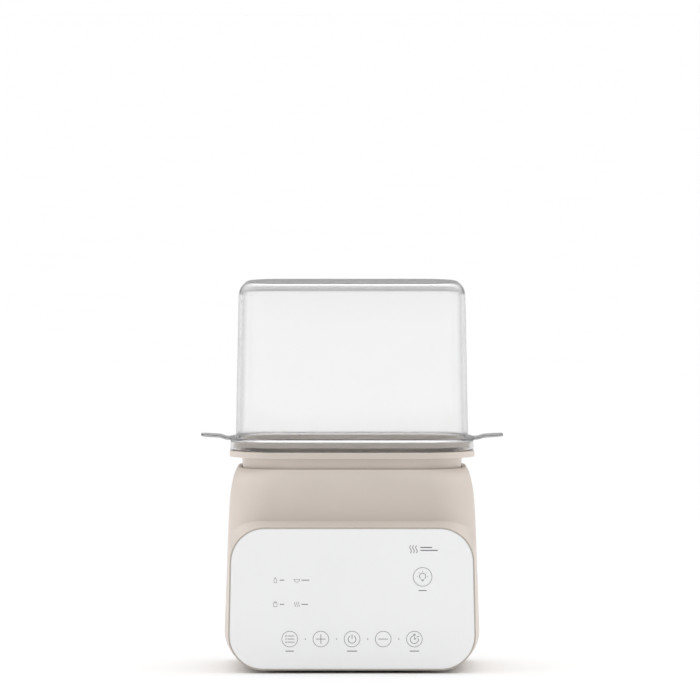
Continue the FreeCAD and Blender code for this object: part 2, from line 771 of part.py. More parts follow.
def make_touch_pads():
    return group([rod_y(6.4, FRONT_Y + PANEL_T, CONTROL_Y, x, z) for x, z in button_places()])


def make_indicator_lamps():
    lamps = []
    for x, z in lamp_places():
        lamps.append(union(block(x - 2.5, x + 2.5, CONTROL_Y - 1.2, CONTROL_Y, z - 2.5, z + 2.5),
                           rod_y(1.8, CONTROL_Y - 2.4, CONTROL_Y - 1, x, z)))
    return group(lamps)


def make_display_module():
    return block(-24, 24, CONTROL_Y - 4.6, CONTROL_Y, DISPLAY_Z - 11, DISPLAY_Z + 11)


def make_buzzer():
    back = CONTROL_BACK
    return rod_y(6.0, back, back + 7, 60, 50).cut(rod_y(1.2, back + 4, back + 8, 60, 50))


def make_controller_chip():
    return block(-9, 9, CONTROL_BACK, CONTROL_BACK + 2.0, 44, 56)


def make_ribbon_socket():
    return block(-26, -14, CONTROL_BACK, CONTROL_BACK + 6, 24, 30)


def make_control_screws():
    screws = []
    back = CONTROL_BACK
    for x, z in control_screw_places():
        shape = union(rod_y(2.6, back, back + 1.7, x, z), rod_y(1.15, CONTROL_Y - 3, back + 0.1, x, z))
        screws.append(shape.cut(block(x - 2, x + 2, back + 1.0, back + 3, z - 0.35, z + 0.35)))
    return group(screws)


# ---- mains inlet --------------------------------------------------------------------------
def make_power_inlet():
    """Two-pin figure-eight inlet pushed into the back wall."""
    z = INLET_Z
    hx = INLET_HX - 0.2
    hz = INLET_HZ - 0.2
    case = upright_plate(hx, z - hz, z + hz, INLET_CORNER - 0.2, INLET_BACK - INLET_DEPTH, INLET_BACK)
    socket = upright_plate(8.0, z - 4.4, z + 4.4, 4.3, INLET_BACK - INLET_DEPTH + 3.5, INLET_BACK + 5)
    rim = 1.8
    collar = upright_plate(hx + rim, z - hz - rim, z + hz + rim, 3.5, INLET_BACK - 4.0, INLET_COLLAR_Y)
    case = union(case, collar).cut(socket)
    case.translate(V(INLET_X, 0, 0))
    for side in (-1, 1):
        case = case.cut(rod_y(PIN_R, INLET_BACK - PIN_L, INLET_BACK - 5, INLET_X + side * PIN_DX, z))
    return case


def make_inlet_pins():
    pins = []
    tip = INLET_BACK - PIN_RECESS
    for side in (-1, 1):
        pin = rod_y(PIN_R, tip - PIN_L, tip, INLET_X + side * PIN_DX, INLET_Z)
        pins.append(pin.makeFillet(0.6, [e for e in pin.Edges if abs(e.BoundBox.YMin - tip) < 0.01]))
    return group(pins)


# ---- basket -------------------------------------------------------------------------------
def window_prism(along_y):
    """Arched window, a little wider at its foot, as a prism right through the basket."""
    corner = math.sin(math.radians(45))
    arch_z = WINDOW_TOP - WINDOW_ARCH
    flat = WINDOW_HALF_TOP - WINDOW_ARCH
    low = BASKET_FLOOR + WINDOW_SILL

    def place(u, z):
        return V(u, -BEYOND, z) if along_y else V(-BEYOND, u, z)

    arcs = []
    for side in (-1, 1):
        start = place(side * WINDOW_HALF_TOP, arch_z)
        middle = place(side * (flat + WINDOW_ARCH * corner), arch_z + WINDOW_ARCH * corner)
        end = place(side * flat, WINDOW_TOP)
        arcs.append(Part.Arc(start, middle, end).toShape())
    lines = [
        Part.makeLine(place(-flat, WINDOW_TOP), place(flat, WINDOW_TOP)),
        Part.makeLine(place(WINDOW_HALF_TOP, arch_z), place(WINDOW_HALF_LOW, low)),
        Part.makeLine(place(WINDOW_HALF_LOW, low), place(-WINDOW_HALF_LOW, low)),
        Part.makeLine(place(-WINDOW_HALF_LOW, low), place(-WINDOW_HALF_TOP, arch_z)),
    ]
    face = Part.Face(Part.Wire(Part.__sortEdges__(arcs + lines)))
    length = 2 * BEYOND
    return face.extrude(V(0, length, 0) if along_y else V(length, 0, 0))


def bay_notch(x):
    """Shallow channel under the floor, so that the ribs between the windows stand as feet."""
    top = BASKET_FLOOR - 2.1
    low = BASKET_BOTTOM - 1.0
    half_top = WINDOW_HALF_LOW - 0.6
    half_low = WINDOW_HALF_LOW + 3.0
    outline = [(x - half_low, low), (x + half_low, low), (x + half_top, top), (x - half_top, top),
               (x - half_low, low)]
    points = [V(u, -BEYOND, z) for u, z in outline]
    return Part.Face(Part.makePolygon(points)).extrude(V(0, 2 * BEYOND, 0))


def floor_slots():
    """Drain slots in rows and columns, left out where the floor rounds up into the walls."""
    slots = []
    half = (SLOT_L - SLOT_W) / 2
    low = BASKET_BOTTOM - 1
    top = BASKET_FLOOR + 8
    for column in range(SLOT_COLUMNS):
        x = (column - (SLOT_COLUMNS - 1) / 2) * SLOT_PITCH_X
        for row in range(SLOT_ROWS):
            dy = (row - (SLOT_ROWS - 1) / 2) * SLOT_PITCH_Y
            if abs(x) > END_CUT_X - 2 and abs(dy) < WINDOW_HALF_LOW:
                continue
            y = POT_Y + dy
            ends = [rod(SLOT_W / 2, low, top, x, y + s * half) for s in (-1, 1)]
            middle = block(x - SLOT_W / 2, x + SLOT_W / 2, y - half, y + half, low, top)
            slots.append(union(middle, *ends))
    return slots


def end_cuts():
    """Each end window runs on down through the rounded edge of the floor."""
    half = WINDOW_HALF_LOW
    low = BASKET_BOTTOM - 1
    top = BASKET_FLOOR + 10
    cuts = []
    for side in (-1, 1):
        inner = side * (END_CUT_X + half)
        outer = side * BEYOND
        cuts.append(block(min(inner, outer), max(inner, outer), POT_Y - half, POT_Y + half, low, top))
        cuts.append(rod(half, low, top, inner, POT_Y))
    return cuts


def collar_wire(grow, z):
    return level_wire(COLLAR_HX + grow, COLLAR_HY + grow, COLLAR_CORNER + grow, z)


def basket_outside():
    """Horned flange, collar with a chamfer under the flange, and the pot's outside."""
    flange = horned_plate(FLANGE_HORN_HX, FLANGE_NOTCH_HX, FLANGE_HY, FLANGE_CORNER, FLANGE_Z0, FLANGE_TOP)
    flange = flange.makeFillet(FLANGE_EDGE, outermost(edges_at(flange, FLANGE_TOP), 60, 40))
    collar = loft([collar_wire(0, FLANGE_Z0 + 0.5), collar_wire(-COLLAR_DRAFT, TANK_LEDGE)], True)
    chamfer = loft([collar_wire(COLLAR_CHAMFER, FLANGE_Z0 + 0.5),
                    collar_wire(-0.2, FLANGE_Z0 - COLLAR_CHAMFER)], True)
    step = COLLAR_STEP
    size = (COLLAR_HX - step, COLLAR_HY - step, COLLAR_CORNER - step)
    pot = tub(TANK_LEDGE + 1, BASKET_BOTTOM, size, BASKET_LEAN, BASKET_SIDE_ROUND_Z, BASKET_END_ROUND_Z)
    return union(flange, collar, chamfer, pot)


def basket_inside():
    """Forms to cut away: the hollow, the collar's throat, its funnel and the recess round the mouth."""
    step = COLLAR_STEP + BASKET_WALL
    size = (COLLAR_HX - step, COLLAR_HY - step, COLLAR_CORNER - step)
    hollow = tub(STEP_FLOOR, BASKET_FLOOR, size, BASKET_LEAN, BASKET_SIDE_ROUND_Z, BASKET_END_ROUND_Z)
    seat_z = FLANGE_TOP - SEAT_DEPTH
    funnel_z = seat_z - 5.3
    throat = loft([collar_wire(-COLLAR_WALL - 0.4, STEP_FLOOR), collar_wire(-COLLAR_WALL, funnel_z)], True)
    funnel = loft([collar_wire(-COLLAR_WALL, funnel_z), collar_wire(FUNNEL_W, seat_z)], True)
    grow = SEAT_W
    seat = plate(COLLAR_HX + grow, COLLAR_HY + grow, COLLAR_CORNER + grow, seat_z, FLANGE_TOP + 1)
    return [hollow, throat, funnel, seat]


def make_basket():
    shape = basket_outside().cut(basket_inside())
    cuts = end_cuts() + floor_slots()
    end_window = window_prism(False)
    end_window.translate(V(0, POT_Y, 0))
    cuts.append(end_window)
    for i in range(4):
        x = (i - 1.5) * WINDOW_PITCH
        window = window_prism(True)
        window.translate(V(x, 0, 0))
        cuts.append(window)
        cuts.append(bay_notch(x))
    return shape.cut(cuts)


# ---- lid ----------------------------------------------------------------------------------
def dome_form(inset, low, top):
    """Dome's outer form, or with an inset its hollow."""
    foot = level_wire(LID_HX - inset, LID_HY - inset, LID_CORNER - inset, low)
    less = LID_DRAFT + inset
    head = level_wire(LID_HX - less, LID_HY - less, LID_CORNER - less, top)
    shape = loft([foot, head], True)
    return shape.makeFillet(LID_EDGE - inset, edges_at(shape, top))


def lid_tab(side):
    """Grip tab: level at the lid's ledge, stepped up, then rising slightly to its tip."""
    z = FLANGE_TOP + 0.1
    line = [(104.5, z), (111.0, z), (117.0, z + 1.8), (TAB_END + 2, z + 2.8)]
    points = [V(side * x, 0, h) for x, h in line]
    points += [V(side * x, 0, h + TAB_T) for x, h in reversed(line)]
    points.append(points[0])
    shape = Part.Face(Part.makePolygon(points)).extrude(V(0, 2 * TAB_HALF, 0))
    shape.translate(V(0, POT_Y - TAB_HALF, 0))
    bends = []
    for edge in shape.Edges:
        box = edge.BoundBox
        if box.XLength < 0.01 and 109 < abs(box.XMin) < 120 and box.YLength > TAB_HALF:
            bends.append(edge)
    shape = shape.makeFillet(3.0, bends)
    return shape.common(plate(TAB_END, TAB_HALF, TAB_CORNER, SKIRT_FOOT, LID_TOP))


def make_lid():
    ledge = FLANGE_TOP + LID_WALL
    shape = plate(SKIRT_HX, SKIRT_HY, SKIRT_CORNER, SKIRT_FOOT, ledge)
    shape = shape.makeFillet(LEDGE_EDGE, edges_at(shape, ledge))
    shape = shape.makeFillet(SKIRT_EDGE, edges_at(shape, SKIRT_FOOT))
    shape = union(shape, dome_form(0, FLANGE_TOP, LID_TOP), lid_tab(-1), lid_tab(1))
    wall = LID_WALL
    under = plate(SKIRT_HX - wall, SKIRT_HY - wall, SKIRT_CORNER - wall, SKIRT_FOOT - 1, FLANGE_TOP)
    return shape.cut([under, dome_form(wall, FLANGE_TOP - 5, LID_TOP - wall)])


# ---- everything ---------------------------------------------------------------------------
MAKERS = {
    "body_shell": make_body_shell,
    "panel_trim": make_panel_trim,
    "front_panel": make_front_panel,
    "water_tank": make_water_tank,
    "heating_plate": make_heating_plate,
    "plate_seal": make_plate_seal,
    "clamp_ring": make_clamp_ring,
    "clamp_screws": make_clamp_screws,
    "heater_element": make_heater_element,
    "heat_spreader": make_heat_spreader,
    "thermostat": make_thermostat,
    "thermal_fuse": make_thermal_fuse,
    "fuse_clip": make_fuse_clip,
    "temperature_sensor": make_temperature_sensor,
    "bottom_cover": make_bottom_cover,
    "rubber_feet": make_feet,
    "base_screws": make_base_screws,
    "power_board": make_power_board,
    "board_screws": make_board_screws,
    "relay": make_relay,
    "transformer": make_transformer,
    "filter_capacitor": make_filter_capacitor,
    "line_fuse": make_line_fuse,
    "board_terminals": make_board_terminals,
    "light_guide": make_light_guide,
    "control_board": make_control_board,
    "touch_pads": make_touch_pads,
    "indicator_lamps": make_indicator_lamps,
    "display_module": make_display_module,
    "controller_chip": make_controller_chip,
    "buzzer": make_buzzer,
    "ribbon_socket": make_ribbon_socket,
    "control_screws": make_control_screws,
    "power_inlet": make_power_inlet,
    "inlet_pins": make_inlet_pins,
    "basket": make_basket,
    "lid": make_lid,
}

os.makedirs("parts", exist_ok=True)
for name, make in MAKERS.items():
    piece = make()
    piece.exportStep("parts/" + name + ".step")
    box = piece.BoundBox
    print("%-20s solids %d valid %s volume %.0f  x %.1f %.1f  y %.1f %.1f  z %.1f %.1f" % (
        name, len(piece.Solids), piece.isValid(), piece.Volume,
        box.XMin, box.XMax, box.YMin, box.YMax, box.ZMin, box.ZMax))
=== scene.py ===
"""Studio scene of the steam bottle sterilizer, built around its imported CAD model.

Metres throughout. Places come from the frame's own boxes; sizes that belong to the looks are named
below. Every material is procedural.
"""
import json
import math

import bmesh
import bpy
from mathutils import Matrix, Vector


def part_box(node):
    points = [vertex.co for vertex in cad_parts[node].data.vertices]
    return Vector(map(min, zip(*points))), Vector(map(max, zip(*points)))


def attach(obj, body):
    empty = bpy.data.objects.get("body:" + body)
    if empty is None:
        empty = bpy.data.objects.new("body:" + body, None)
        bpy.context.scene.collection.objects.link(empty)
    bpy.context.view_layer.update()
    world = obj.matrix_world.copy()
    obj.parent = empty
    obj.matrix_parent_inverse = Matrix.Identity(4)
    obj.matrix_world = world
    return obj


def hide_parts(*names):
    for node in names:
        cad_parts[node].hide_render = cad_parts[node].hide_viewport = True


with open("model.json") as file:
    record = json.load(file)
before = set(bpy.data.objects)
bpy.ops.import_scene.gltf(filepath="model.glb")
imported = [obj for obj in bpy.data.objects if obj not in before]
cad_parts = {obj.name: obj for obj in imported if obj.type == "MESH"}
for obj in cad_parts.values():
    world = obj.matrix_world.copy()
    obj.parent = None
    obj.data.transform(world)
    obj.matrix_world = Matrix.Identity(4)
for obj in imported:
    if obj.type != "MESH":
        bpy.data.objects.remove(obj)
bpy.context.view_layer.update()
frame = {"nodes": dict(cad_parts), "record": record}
MM = 0.001

# ---- places read from the frame -----------------------------------------------------------
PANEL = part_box("front_panel")
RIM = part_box("water_tank")
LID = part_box("lid")
POT_Y = (RIM[0].y + RIM[1].y) / 2
PANEL_FACE = PANEL[0].y

# ---- camera -------------------------------------------------------------------------------
VIEW_WIDTH = 0.6216            # what the square picture spans at the pot's centre plane
VIEW_Z = 0.2806                # height of the picture's middle
VIEW_X = -0.0018
VIEW_ELEVATION = math.radians(2.6)
VIEW_DISTANCE = 8.0
SENSOR = 36.0                  # mm
CLIP = (0.5, 200.0)


def srgb(red, green, blue):
    """Linear colour of an 8-bit display colour."""
    def linear(value):
        value /= 255.0
        return value / 12.92 if value <= 0.04045 else ((value + 0.055) / 1.055) ** 2.4
    return (linear(red), linear(green), linear(blue), 1.0)


def scaled(color, factor):
    return (color[0] * factor, color[1] * factor, color[2] * factor, 1.0)


# ---- materials ----------------------------------------------------------------------------
VALUE_BAND = (0.3, 0.7)        # where nearly all of a noise's values lie
COLOUR_BAND = (0.32, 0.68)


def new_node(tree, kind, links=None, **settings):
    """Shader node whose sockets are fed by other sockets or set to values."""
    made = tree.nodes.new(kind)
    for key, value in settings.items():
        setattr(made, key, value)
    for socket, source in (links or {}).items():
        if hasattr(source, "is_output"):
            tree.links.new(source, made.inputs[socket])
        else:
            made.inputs[socket].default_value = source
    return made


class Surface:
    """A Principled material with short calls for the nodes that feed it."""

    def __init__(self, name):
        self.material = bpy.data.materials.new(name)
        self.material.use_nodes = True
        self.tree = self.material.node_tree
        self.shader = self.tree.nodes["Principled BSDF"]
        self.place = self.node("ShaderNodeTexCoord").outputs["Object"]

    def set(self, **values):
        for name, value in values.items():
            self.shader.inputs[name.replace("_", " ")].default_value = value
        return self

    def node(self, kind, links=None, **settings):
        return new_node(self.tree, kind, links, **settings)

    def link(self, output, name):
        self.tree.links.new(output, self.shader.inputs[name])

    def noise(self, scale, detail=2.0, stretch=None):
        place = self.place
        if stretch:
            place = self.node("ShaderNodeMapping", {"Vector": place, "Scale": stretch}).outputs[0]
        return self.node("ShaderNodeTexNoise",
                         {"Vector": place, "Scale": scale, "Detail": detail}).outputs["Fac"]

    def between(self, source, low, high):
        """source, which lies round a half, spread between two values."""
        return self.node("ShaderNodeMapRange",
                         {"Value": source, "From Min": VALUE_BAND[0], "From Max": VALUE_BAND[1],
                          "To Min": low, "To Max": high}).outputs[0]

    def colours(self, source, dark, light):
        """source, which lies round a half, spread between two colours."""
        ramp = self.node("ShaderNodeValToRGB", {"Fac": source})
        for stop, position, color in zip(ramp.color_ramp.elements, COLOUR_BAND, (dark, light)):
            stop.position = position
            stop.color = color
        return ramp.outputs["Color"]

    def bump(self, height, depth, under=None):
        links = {"Height": height, "Distance": depth, "Strength": 1.0}
        if under is not None:
            links["Normal"] = under
        return self.node("ShaderNodeBump", links).outputs["Normal"]


# Painted highlight on convex edges: the pale colour the edges are lightened towards, and how far in
# it reaches.
EDGE_HIGHLIGHT_COLOR = (0.9, 0.87, 0.84, 1.0)
EDGE_HIGHLIGHT_REACH = 0.8 * MM
FLOW_DEPTH = 0.12 * MM
ROUGHNESS_SPREAD = 0.035


def painted_edge_highlight(surface, color, amount):
    """Painted highlight: lighter along convex edges, standing in for the light that rounded edges
    catch.
    """
    flat = surface.node("ShaderNodeNewGeometry").outputs["Normal"]
    soft = surface.node("ShaderNodeBevel", {"Radius": EDGE_HIGHLIGHT_REACH}, samples=4).outputs["Normal"]
    turn = surface.node("ShaderNodeVectorMath", {0: flat, 1: soft}, operation="DOT_PRODUCT")
    edge = surface.node("ShaderNodeMapRange",
                        {"Value": turn.outputs["Value"], "From Min": 1.0, "From Max": 0.8,
                         "To Min": 0.0, "To Max": amount}).outputs[0]
    mix = surface.node("ShaderNodeMix", {"Factor": edge}, data_type="RGBA")
    surface.tree.links.new(color, mix.inputs["A"])
    mix.inputs["B"].default_value = EDGE_HIGHLIGHT_COLOR
    return mix.outputs["Result"]


def moulded(name, color, roughness, grain, grain_size, edge_highlight=0.0):
    """Injection-moulded plastic: faint clouding, spark-eroded grain and flow marks, with a painted
    highlight along convex edges when asked. Sizes in mm.
    """
    surface = Surface(name)
    cloud = surface.noise(11.0, 3.0)
    tint = surface.colours(cloud, scaled(color, 0.965), scaled(color, 1.03))
    # Painted highlight along convex edges, as strong as asked.
    if edge_highlight:
        tint = painted_edge_highlight(surface, tint, edge_highlight)
    surface.link(tint, "Base Color")
    low, high = roughness - ROUGHNESS_SPREAD, roughness + ROUGHNESS_SPREAD
    surface.link(surface.between(surface.noise(70.0, 4.0), low, high), "Roughness")
    flow = surface.bump(surface.noise(26.0, 2.0), FLOW_DEPTH)
    spark = surface.noise(1.0 / (grain_size * MM), 2.0)
    surface.link(surface.bump(spark, grain * MM, flow), "Normal")
    surface.set(Specular_IOR_Level=0.42)
    return surface.material


def glossy_panel(name, color):
    """Hard white cover sheet: polished, with a very slight waviness."""
    surface = Surface(name)
    cloud = surface.noise(6.0, 2.0)
    surface.link(surface.colours(cloud, scaled(color, 0.985), scaled(color, 1.01)), "Base Color")
    surface.link(surface.between(surface.noise(45.0, 4.0), 0.10, 0.15), "Roughness")
    surface.link(surface.bump(surface.noise(14.0, 1.0), 0.08 * MM), "Normal")
    surface.set(Specular_IOR_Level=0.5, Coat_Weight=0.6, Coat_Roughness=0.04)
    return surface.material


CLEAR_FACING = 0.975           # tint at each face looked through square on, and at a glance
CLEAR_GLANCE = 0.60
SOAK_COLOR = (0.45, 0.455, 0.46, 1.0)
SOAK_DENSITY = 18.0


def clear_plastic(name):
    """Clear moulding, darker at a glance and where more plastic is looked through."""
    surface = Surface(name)
    glance = surface.node("ShaderNodeLayerWeight", {"Blend": 0.5}).outputs["Facing"]
    edge = surface.node("ShaderNodeMapRange", {"Value": glance, "From Min": 0.5, "From Max": 1.0,
                                               "To Min": CLEAR_FACING, "To Max": CLEAR_GLANCE})
    surface.link(edge.outputs[0], "Base Color")
    surface.link(surface.between(surface.noise(30.0, 3.0), 0.07, 0.10), "Roughness")
    surface.link(surface.bump(surface.noise(6.0, 0.0), 0.03 * MM), "Normal")
    surface.set(Transmission_Weight=1.0, IOR=1.5)
    soak = surface.node("ShaderNodeVolumeAbsorption",
                        {"Color": SOAK_COLOR, "Density": SOAK_DENSITY})
    output = surface.tree.nodes["Material Output"]
    surface.tree.links.new(soak.outputs[0], output.inputs["Volume"])
    return surface.material


def brushed(name, color, roughness=0.28, stretch=(1.0, 40.0, 40.0)):
    """Metal with fine drawn lines, along X unless stretched otherwise."""
    surface = Surface(name)
    lines = surface.noise(160.0, 3.0, stretch)
    surface.link(surface.colours(lines, scaled(color, 0.86), scaled(color, 1.06)), "Base Color")
    surface.link(surface.between(lines, roughness - 0.07, roughness + 0.10), "Roughness")
    surface.link(surface.bump(lines, 0.02 * MM), "Normal")
    surface.set(Metallic=1.0)
    return surface.material


def turned(name, color):
    """Stainless plate with concentric turning marks about the pot's centre."""
    surface = Surface(name)
    centred = surface.node("ShaderNodeMapping",
                           {"Vector": surface.place, "Location": (0.0, -POT_Y, 0.0)})
    rings = surface.node("ShaderNodeTexWave",
                         {"Vector": centred.outputs[0], "Scale": 420.0, "Distortion": 0.6,
                          "Detail": 2.0, "Detail Scale": 3.0},
                         wave_type="RINGS", rings_direction="Z").outputs["Fac"]
    surface.link(surface.colours(rings, scaled(color, 0.88), scaled(color, 1.05)), "Base Color")
    surface.link(surface.between(surface.noise(50.0, 3.0), 0.18, 0.34), "Roughness")
    surface.link(surface.bump(rings, 0.02 * MM), "Normal")
    surface.set(Metallic=1.0)
    return surface.material


def circuit_board(name, color):
    """Solder mask over copper tracks."""
    surface = Surface(name)
    tracks = surface.node("ShaderNodeTexBrick",
                          {"Vector": surface.place, "Scale": 170.0, "Mortar Size": 0.03,
                           "Color1": color, "Color2": scaled(color, 1.25),
                           "Mortar": scaled(color, 0.7)})
    surface.link(tracks.outputs["Color"], "Base Color")
    surface.link(surface.between(surface.noise(120.0, 3.0), 0.26, 0.40), "Roughness")
    surface.link(surface.bump(tracks.outputs["Fac"], 0.03 * MM), "Normal")
    return surface.material


def rubbery(name, color):
    """Matt rubber with a fine skin."""
    surface = Surface(name)
    cloud = surface.noise(40.0, 4.0)
    surface.link(surface.colours(cloud, scaled(color, 0.9), scaled(color, 1.1)), "Base Color")
    surface.link(surface.between(surface.noise(90.0, 3.0), 0.62, 0.78), "Roughness")
    surface.link(surface.bump(surface.noise(1500.0, 2.0), 0.03 * MM), "Normal")
    surface.set(Specular_IOR_Level=0.3)
    return surface.material


BEIGE = srgb(207, 197, 188)
MATERIALS = {
    # Where a finish has a last number after its grain, that number is the strength of a painted
    # highlight along convex edges.
    "shell_beige": moulded("shell_beige", BEIGE, 0.46, 0.012, 0.5, edge_highlight=0.25),
    "tank_beige": moulded("tank_beige", BEIGE, 0.34, 0.006, 0.5, edge_highlight=0.3),
    "basket_beige": moulded("basket_beige", scaled(BEIGE, 1.10), 0.40, 0.008, 0.5, edge_highlight=0.3),
    "panel_white": glossy_panel("panel_white", (0.90, 0.903, 0.908, 1.0)),
    "trim_taupe": moulded("trim_taupe", srgb(186, 178, 169), 0.36, 0.004, 0.5),
    "clear_lid": clear_plastic("clear_lid"),
    "stainless": turned("stainless", (0.66, 0.66, 0.65, 1.0)),
    "zinc_steel": brushed("zinc_steel", (0.60, 0.61, 0.63, 1.0)),
    "cast_aluminium": brushed("cast_aluminium", (0.70, 0.70, 0.70, 1.0), 0.42, (1.0, 1.0, 1.0)),
    "silicone": rubbery("silicone", (0.70, 0.69, 0.66, 1.0)),
    "foot_rubber": rubbery("foot_rubber", (0.06, 0.058, 0.055, 1.0)),
    "cover_taupe": moulded("cover_taupe", srgb(176, 166, 156), 0.55, 0.03, 0.8, edge_highlight=0.2),
    "board_green": circuit_board("board_green", (0.02, 0.13, 0.06, 1.0)),
    "component_black": moulded("component_black", (0.025, 0.025, 0.028, 1.0), 0.42, 0.01, 0.3),
    "component_blue": moulded("component_blue", (0.03, 0.09, 0.32, 1.0), 0.35, 0.005, 0.3),
    "component_yellow": moulded("component_yellow", (0.62, 0.44, 0.06, 1.0), 0.48, 0.02, 1.2),
    "component_white": moulded("component_white", (0.74, 0.74, 0.70, 1.0), 0.45, 0.01, 0.3),
    "lens_white": moulded("lens_white", (0.80, 0.80, 0.78, 1.0), 0.30, 0.004, 0.4),
    "pad_grey": rubbery("pad_grey", (0.07, 0.07, 0.075, 1.0)),
    "pin_brass": brushed("pin_brass", (0.72, 0.52, 0.22, 1.0), 0.22, (40.0, 1.0, 40.0)),
}
INK = moulded("print_grey", srgb(112, 112, 114), 0.5, 0.001, 0.4)


def dress_nodes():
    """Gives each CAD node the material of its slot."""
    slots = {part["node"]: part["material_slot"] for part in frame["record"]["subparts"]}
    for name, node in frame["nodes"].items():
        node.data.materials.clear()
        node.data.materials.append(MATERIALS[slots[name]])


# ---- print on the panel -------------------------------------------------------------------
class Print:
    """Ink on the panel: closed shapes less than a tenth of a millimetre thick. Places in mm."""

    INK_T = 0.05 * MM
    LAYER_STEP = 0.006 * MM        # strokes that cross lie at different heights
    LAYERS = 6
    LINE = 0.55
    FINE = 0.32
    CAP_STEPS = 6
    DOT_STEPS = 20
    ARC_STEP = 6                   # degrees

    def __init__(self, name, x, z):
        self.name = name
        self.x = x
        self.z = z
        self.mesh = bmesh.new()
        self.strokes = 0

    def next_front(self):
        """Where the next stroke's face lies."""
        self.strokes += 1
        return PANEL_FACE - self.INK_T - self.LAYER_STEP * (self.strokes % self.LAYERS)

    def corner(self, u, v, y):
        return self.mesh.verts.new(((self.x + u) * MM, y, (self.z + v) * MM))

    def area(self, outline):
        """A closed outline, given anticlockwise as seen from the front."""
        face = self.next_front()
        rear = [self.corner(u, v, PANEL_FACE) for u, v in outline]
        front = [self.corner(u, v, face) for u, v in outline]
        self.mesh.faces.new(front)
        self.mesh.faces.new(rear[::-1])
        count = len(outline)
        for i in range(count):
            j = (i + 1) % count
            self.mesh.faces.new((front[i], rear[i], rear[j], front[j]))

    def dot(self, u, v, r):
        turn = 2 * math.pi / self.DOT_STEPS
        self.area([(u + r * math.cos(i * turn), v + r * math.sin(i * turn))
                   for i in range(self.DOT_STEPS)])

    def line(self, points, width=None):
        """Stroke with round ends and joints, drawn as one capsule for each run."""
        half = (width or self.LINE) / 2
        for (u0, v0), (u1, v1) in zip(points, points[1:]):
            angle = math.atan2(v1 - v0, u1 - u0)
            outline = []
            for cu, cv, start in ((u1, v1, angle - math.pi / 2), (u0, v0, angle + math.pi / 2)):
                for i in range(self.CAP_STEPS + 1):
                    a = start + math.pi * i / self.CAP_STEPS
                    outline.append((cu + half * math.cos(a), cv + half * math.sin(a)))
            self.area(outline)

    def arc(self, u, v, r, start, end, width=None):
        """Part or all of a ring, from start to end in degrees."""
        half = (width or self.LINE) / 2
        whole = end - start == 360
        steps = int((end - start) / self.ARC_STEP)
        face = self.next_front()
        rows = []
        for i in range(steps if whole else steps + 1):
            a = math.radians(start + (end - start) * i / steps)
            rows.append([self.corner(u + radius * math.cos(a), v + radius * math.sin(a), y)
                         for radius, y in ((r + half, face), (r - half, face),
                                           (r - half, PANEL_FACE), (r + half, PANEL_FACE))])
        if not whole:
            self.mesh.faces.new(rows[0])
            self.mesh.faces.new(rows[-1][::-1])
        for first, second in zip(rows, rows[1:] + (rows[:1] if whole else [])):
            for i in range(4):
                j = (i + 1) % 4
                self.mesh.faces.new((first[i], first[j], second[j], second[i]))

    def ring(self, u, v, r, width=None):
        self.arc(u, v, r, 0, 360, width)

    def done(self):
        bmesh.ops.recalc_face_normals(self.mesh, faces=self.mesh.faces)
        make_piece(self.name, self.mesh, INK, "base")


def make_piece(name, mesh, material, body):
    """Object from a finished mesh, riding on a body, with the material it is given."""
    data = bpy.data.meshes.new(name)
    mesh.to_mesh(data)
    mesh.free()
    data.materials.append(material)
    piece = bpy.data.objects.new(name, data)
    bpy.context.scene.collection.objects.link(piece)
    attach(piece, body)
    return piece


BUTTON_PITCH = 27.4
BUTTON_Z = 30.4
BUTTON_R = 6.9
RING_LINE = 0.44
BAR_LINE = 0.75
LABEL_DROP = 10.6
LAMP_PLACE = (62.0, 85.2)
LAMP_R = 8.2
LAMP_LABEL_DROP = 12.0
RAY_REACH = (4.0, 4.9)
MARK_PLACE = (54.0, 109.5)
MARK_PITCH = 2.6


def label_bar(ink, width, drop=LABEL_DROP):
    """Plain bar that stands where a word would be."""
    ink.line([(-width / 2, -drop), (width / 2, -drop)], BAR_LINE)


def icon_list(ink):
    for v in (-2.7, 0.0, 2.7):
        ink.dot(-3.2, v, 0.55)
        ink.line([(-1.7, v), (3.8, v)])
    label_bar(ink, 6.6)


def icon_plus(ink):
    ink.line([(-4.0, 0), (4.0, 0)])
    ink.line([(0, -4.0), (0, 4.0)])


def icon_power(ink):
    ink.arc(0, -0.2, 3.4, 120, 420)
    ink.line([(0, 0.4), (0, 3.9)])
    label_bar(ink, 8.4)


def icon_minus(ink):
    ink.line([(-4.0, 0), (4.0, 0)])


def icon_timer(ink):
    ink.arc(0, -0.4, 3.5, 75, 375)
    ink.line([(0, -0.4), (0, 1.9)])
    ink.line([(0, -0.4), (1.5, 0.9)])
    ink.line([(-1.0, 4.2), (1.0, 4.2)], 0.6)
    ink.line([(2.3, 2.0), (4.1, 2.5)], 0.6)
    label_bar(ink, 7.6)


def print_controls():
    """Row of touch rings with a pictogram in each and a dot between them."""
    icons = (icon_list, icon_plus, icon_power, icon_minus, icon_timer)
    middle = len(icons) // 2
    for i, icon in enumerate(icons):
        ink = Print("print_control_" + str(i), (i - middle) * BUTTON_PITCH, BUTTON_Z)
        ink.ring(0, 0, BUTTON_R, RING_LINE)
        icon(ink)
        if i < len(icons) - 1:
            ink.dot(BUTTON_PITCH / 2, 0, 0.5)
        ink.done()


def print_lamp():
    """Touch ring with a shining bulb."""
    ink = Print("print_lamp", *LAMP_PLACE)
    ink.ring(0, 0, LAMP_R, RING_LINE)
    ink.arc(0, 0.5, 2.7, -50, 230)
    ink.line([(-1.1, -2.6), (1.1, -2.6)])
    ink.line([(-0.7, -3.5), (0.7, -3.5)])
    for turn in range(0, 181, 45):
        a = math.radians(turn)
        ink.line([(reach * math.cos(a), 0.5 + reach * math.sin(a)) for reach in RAY_REACH], 0.3)
    label_bar(ink, 6.4, LAMP_LABEL_DROP)
    ink.done()


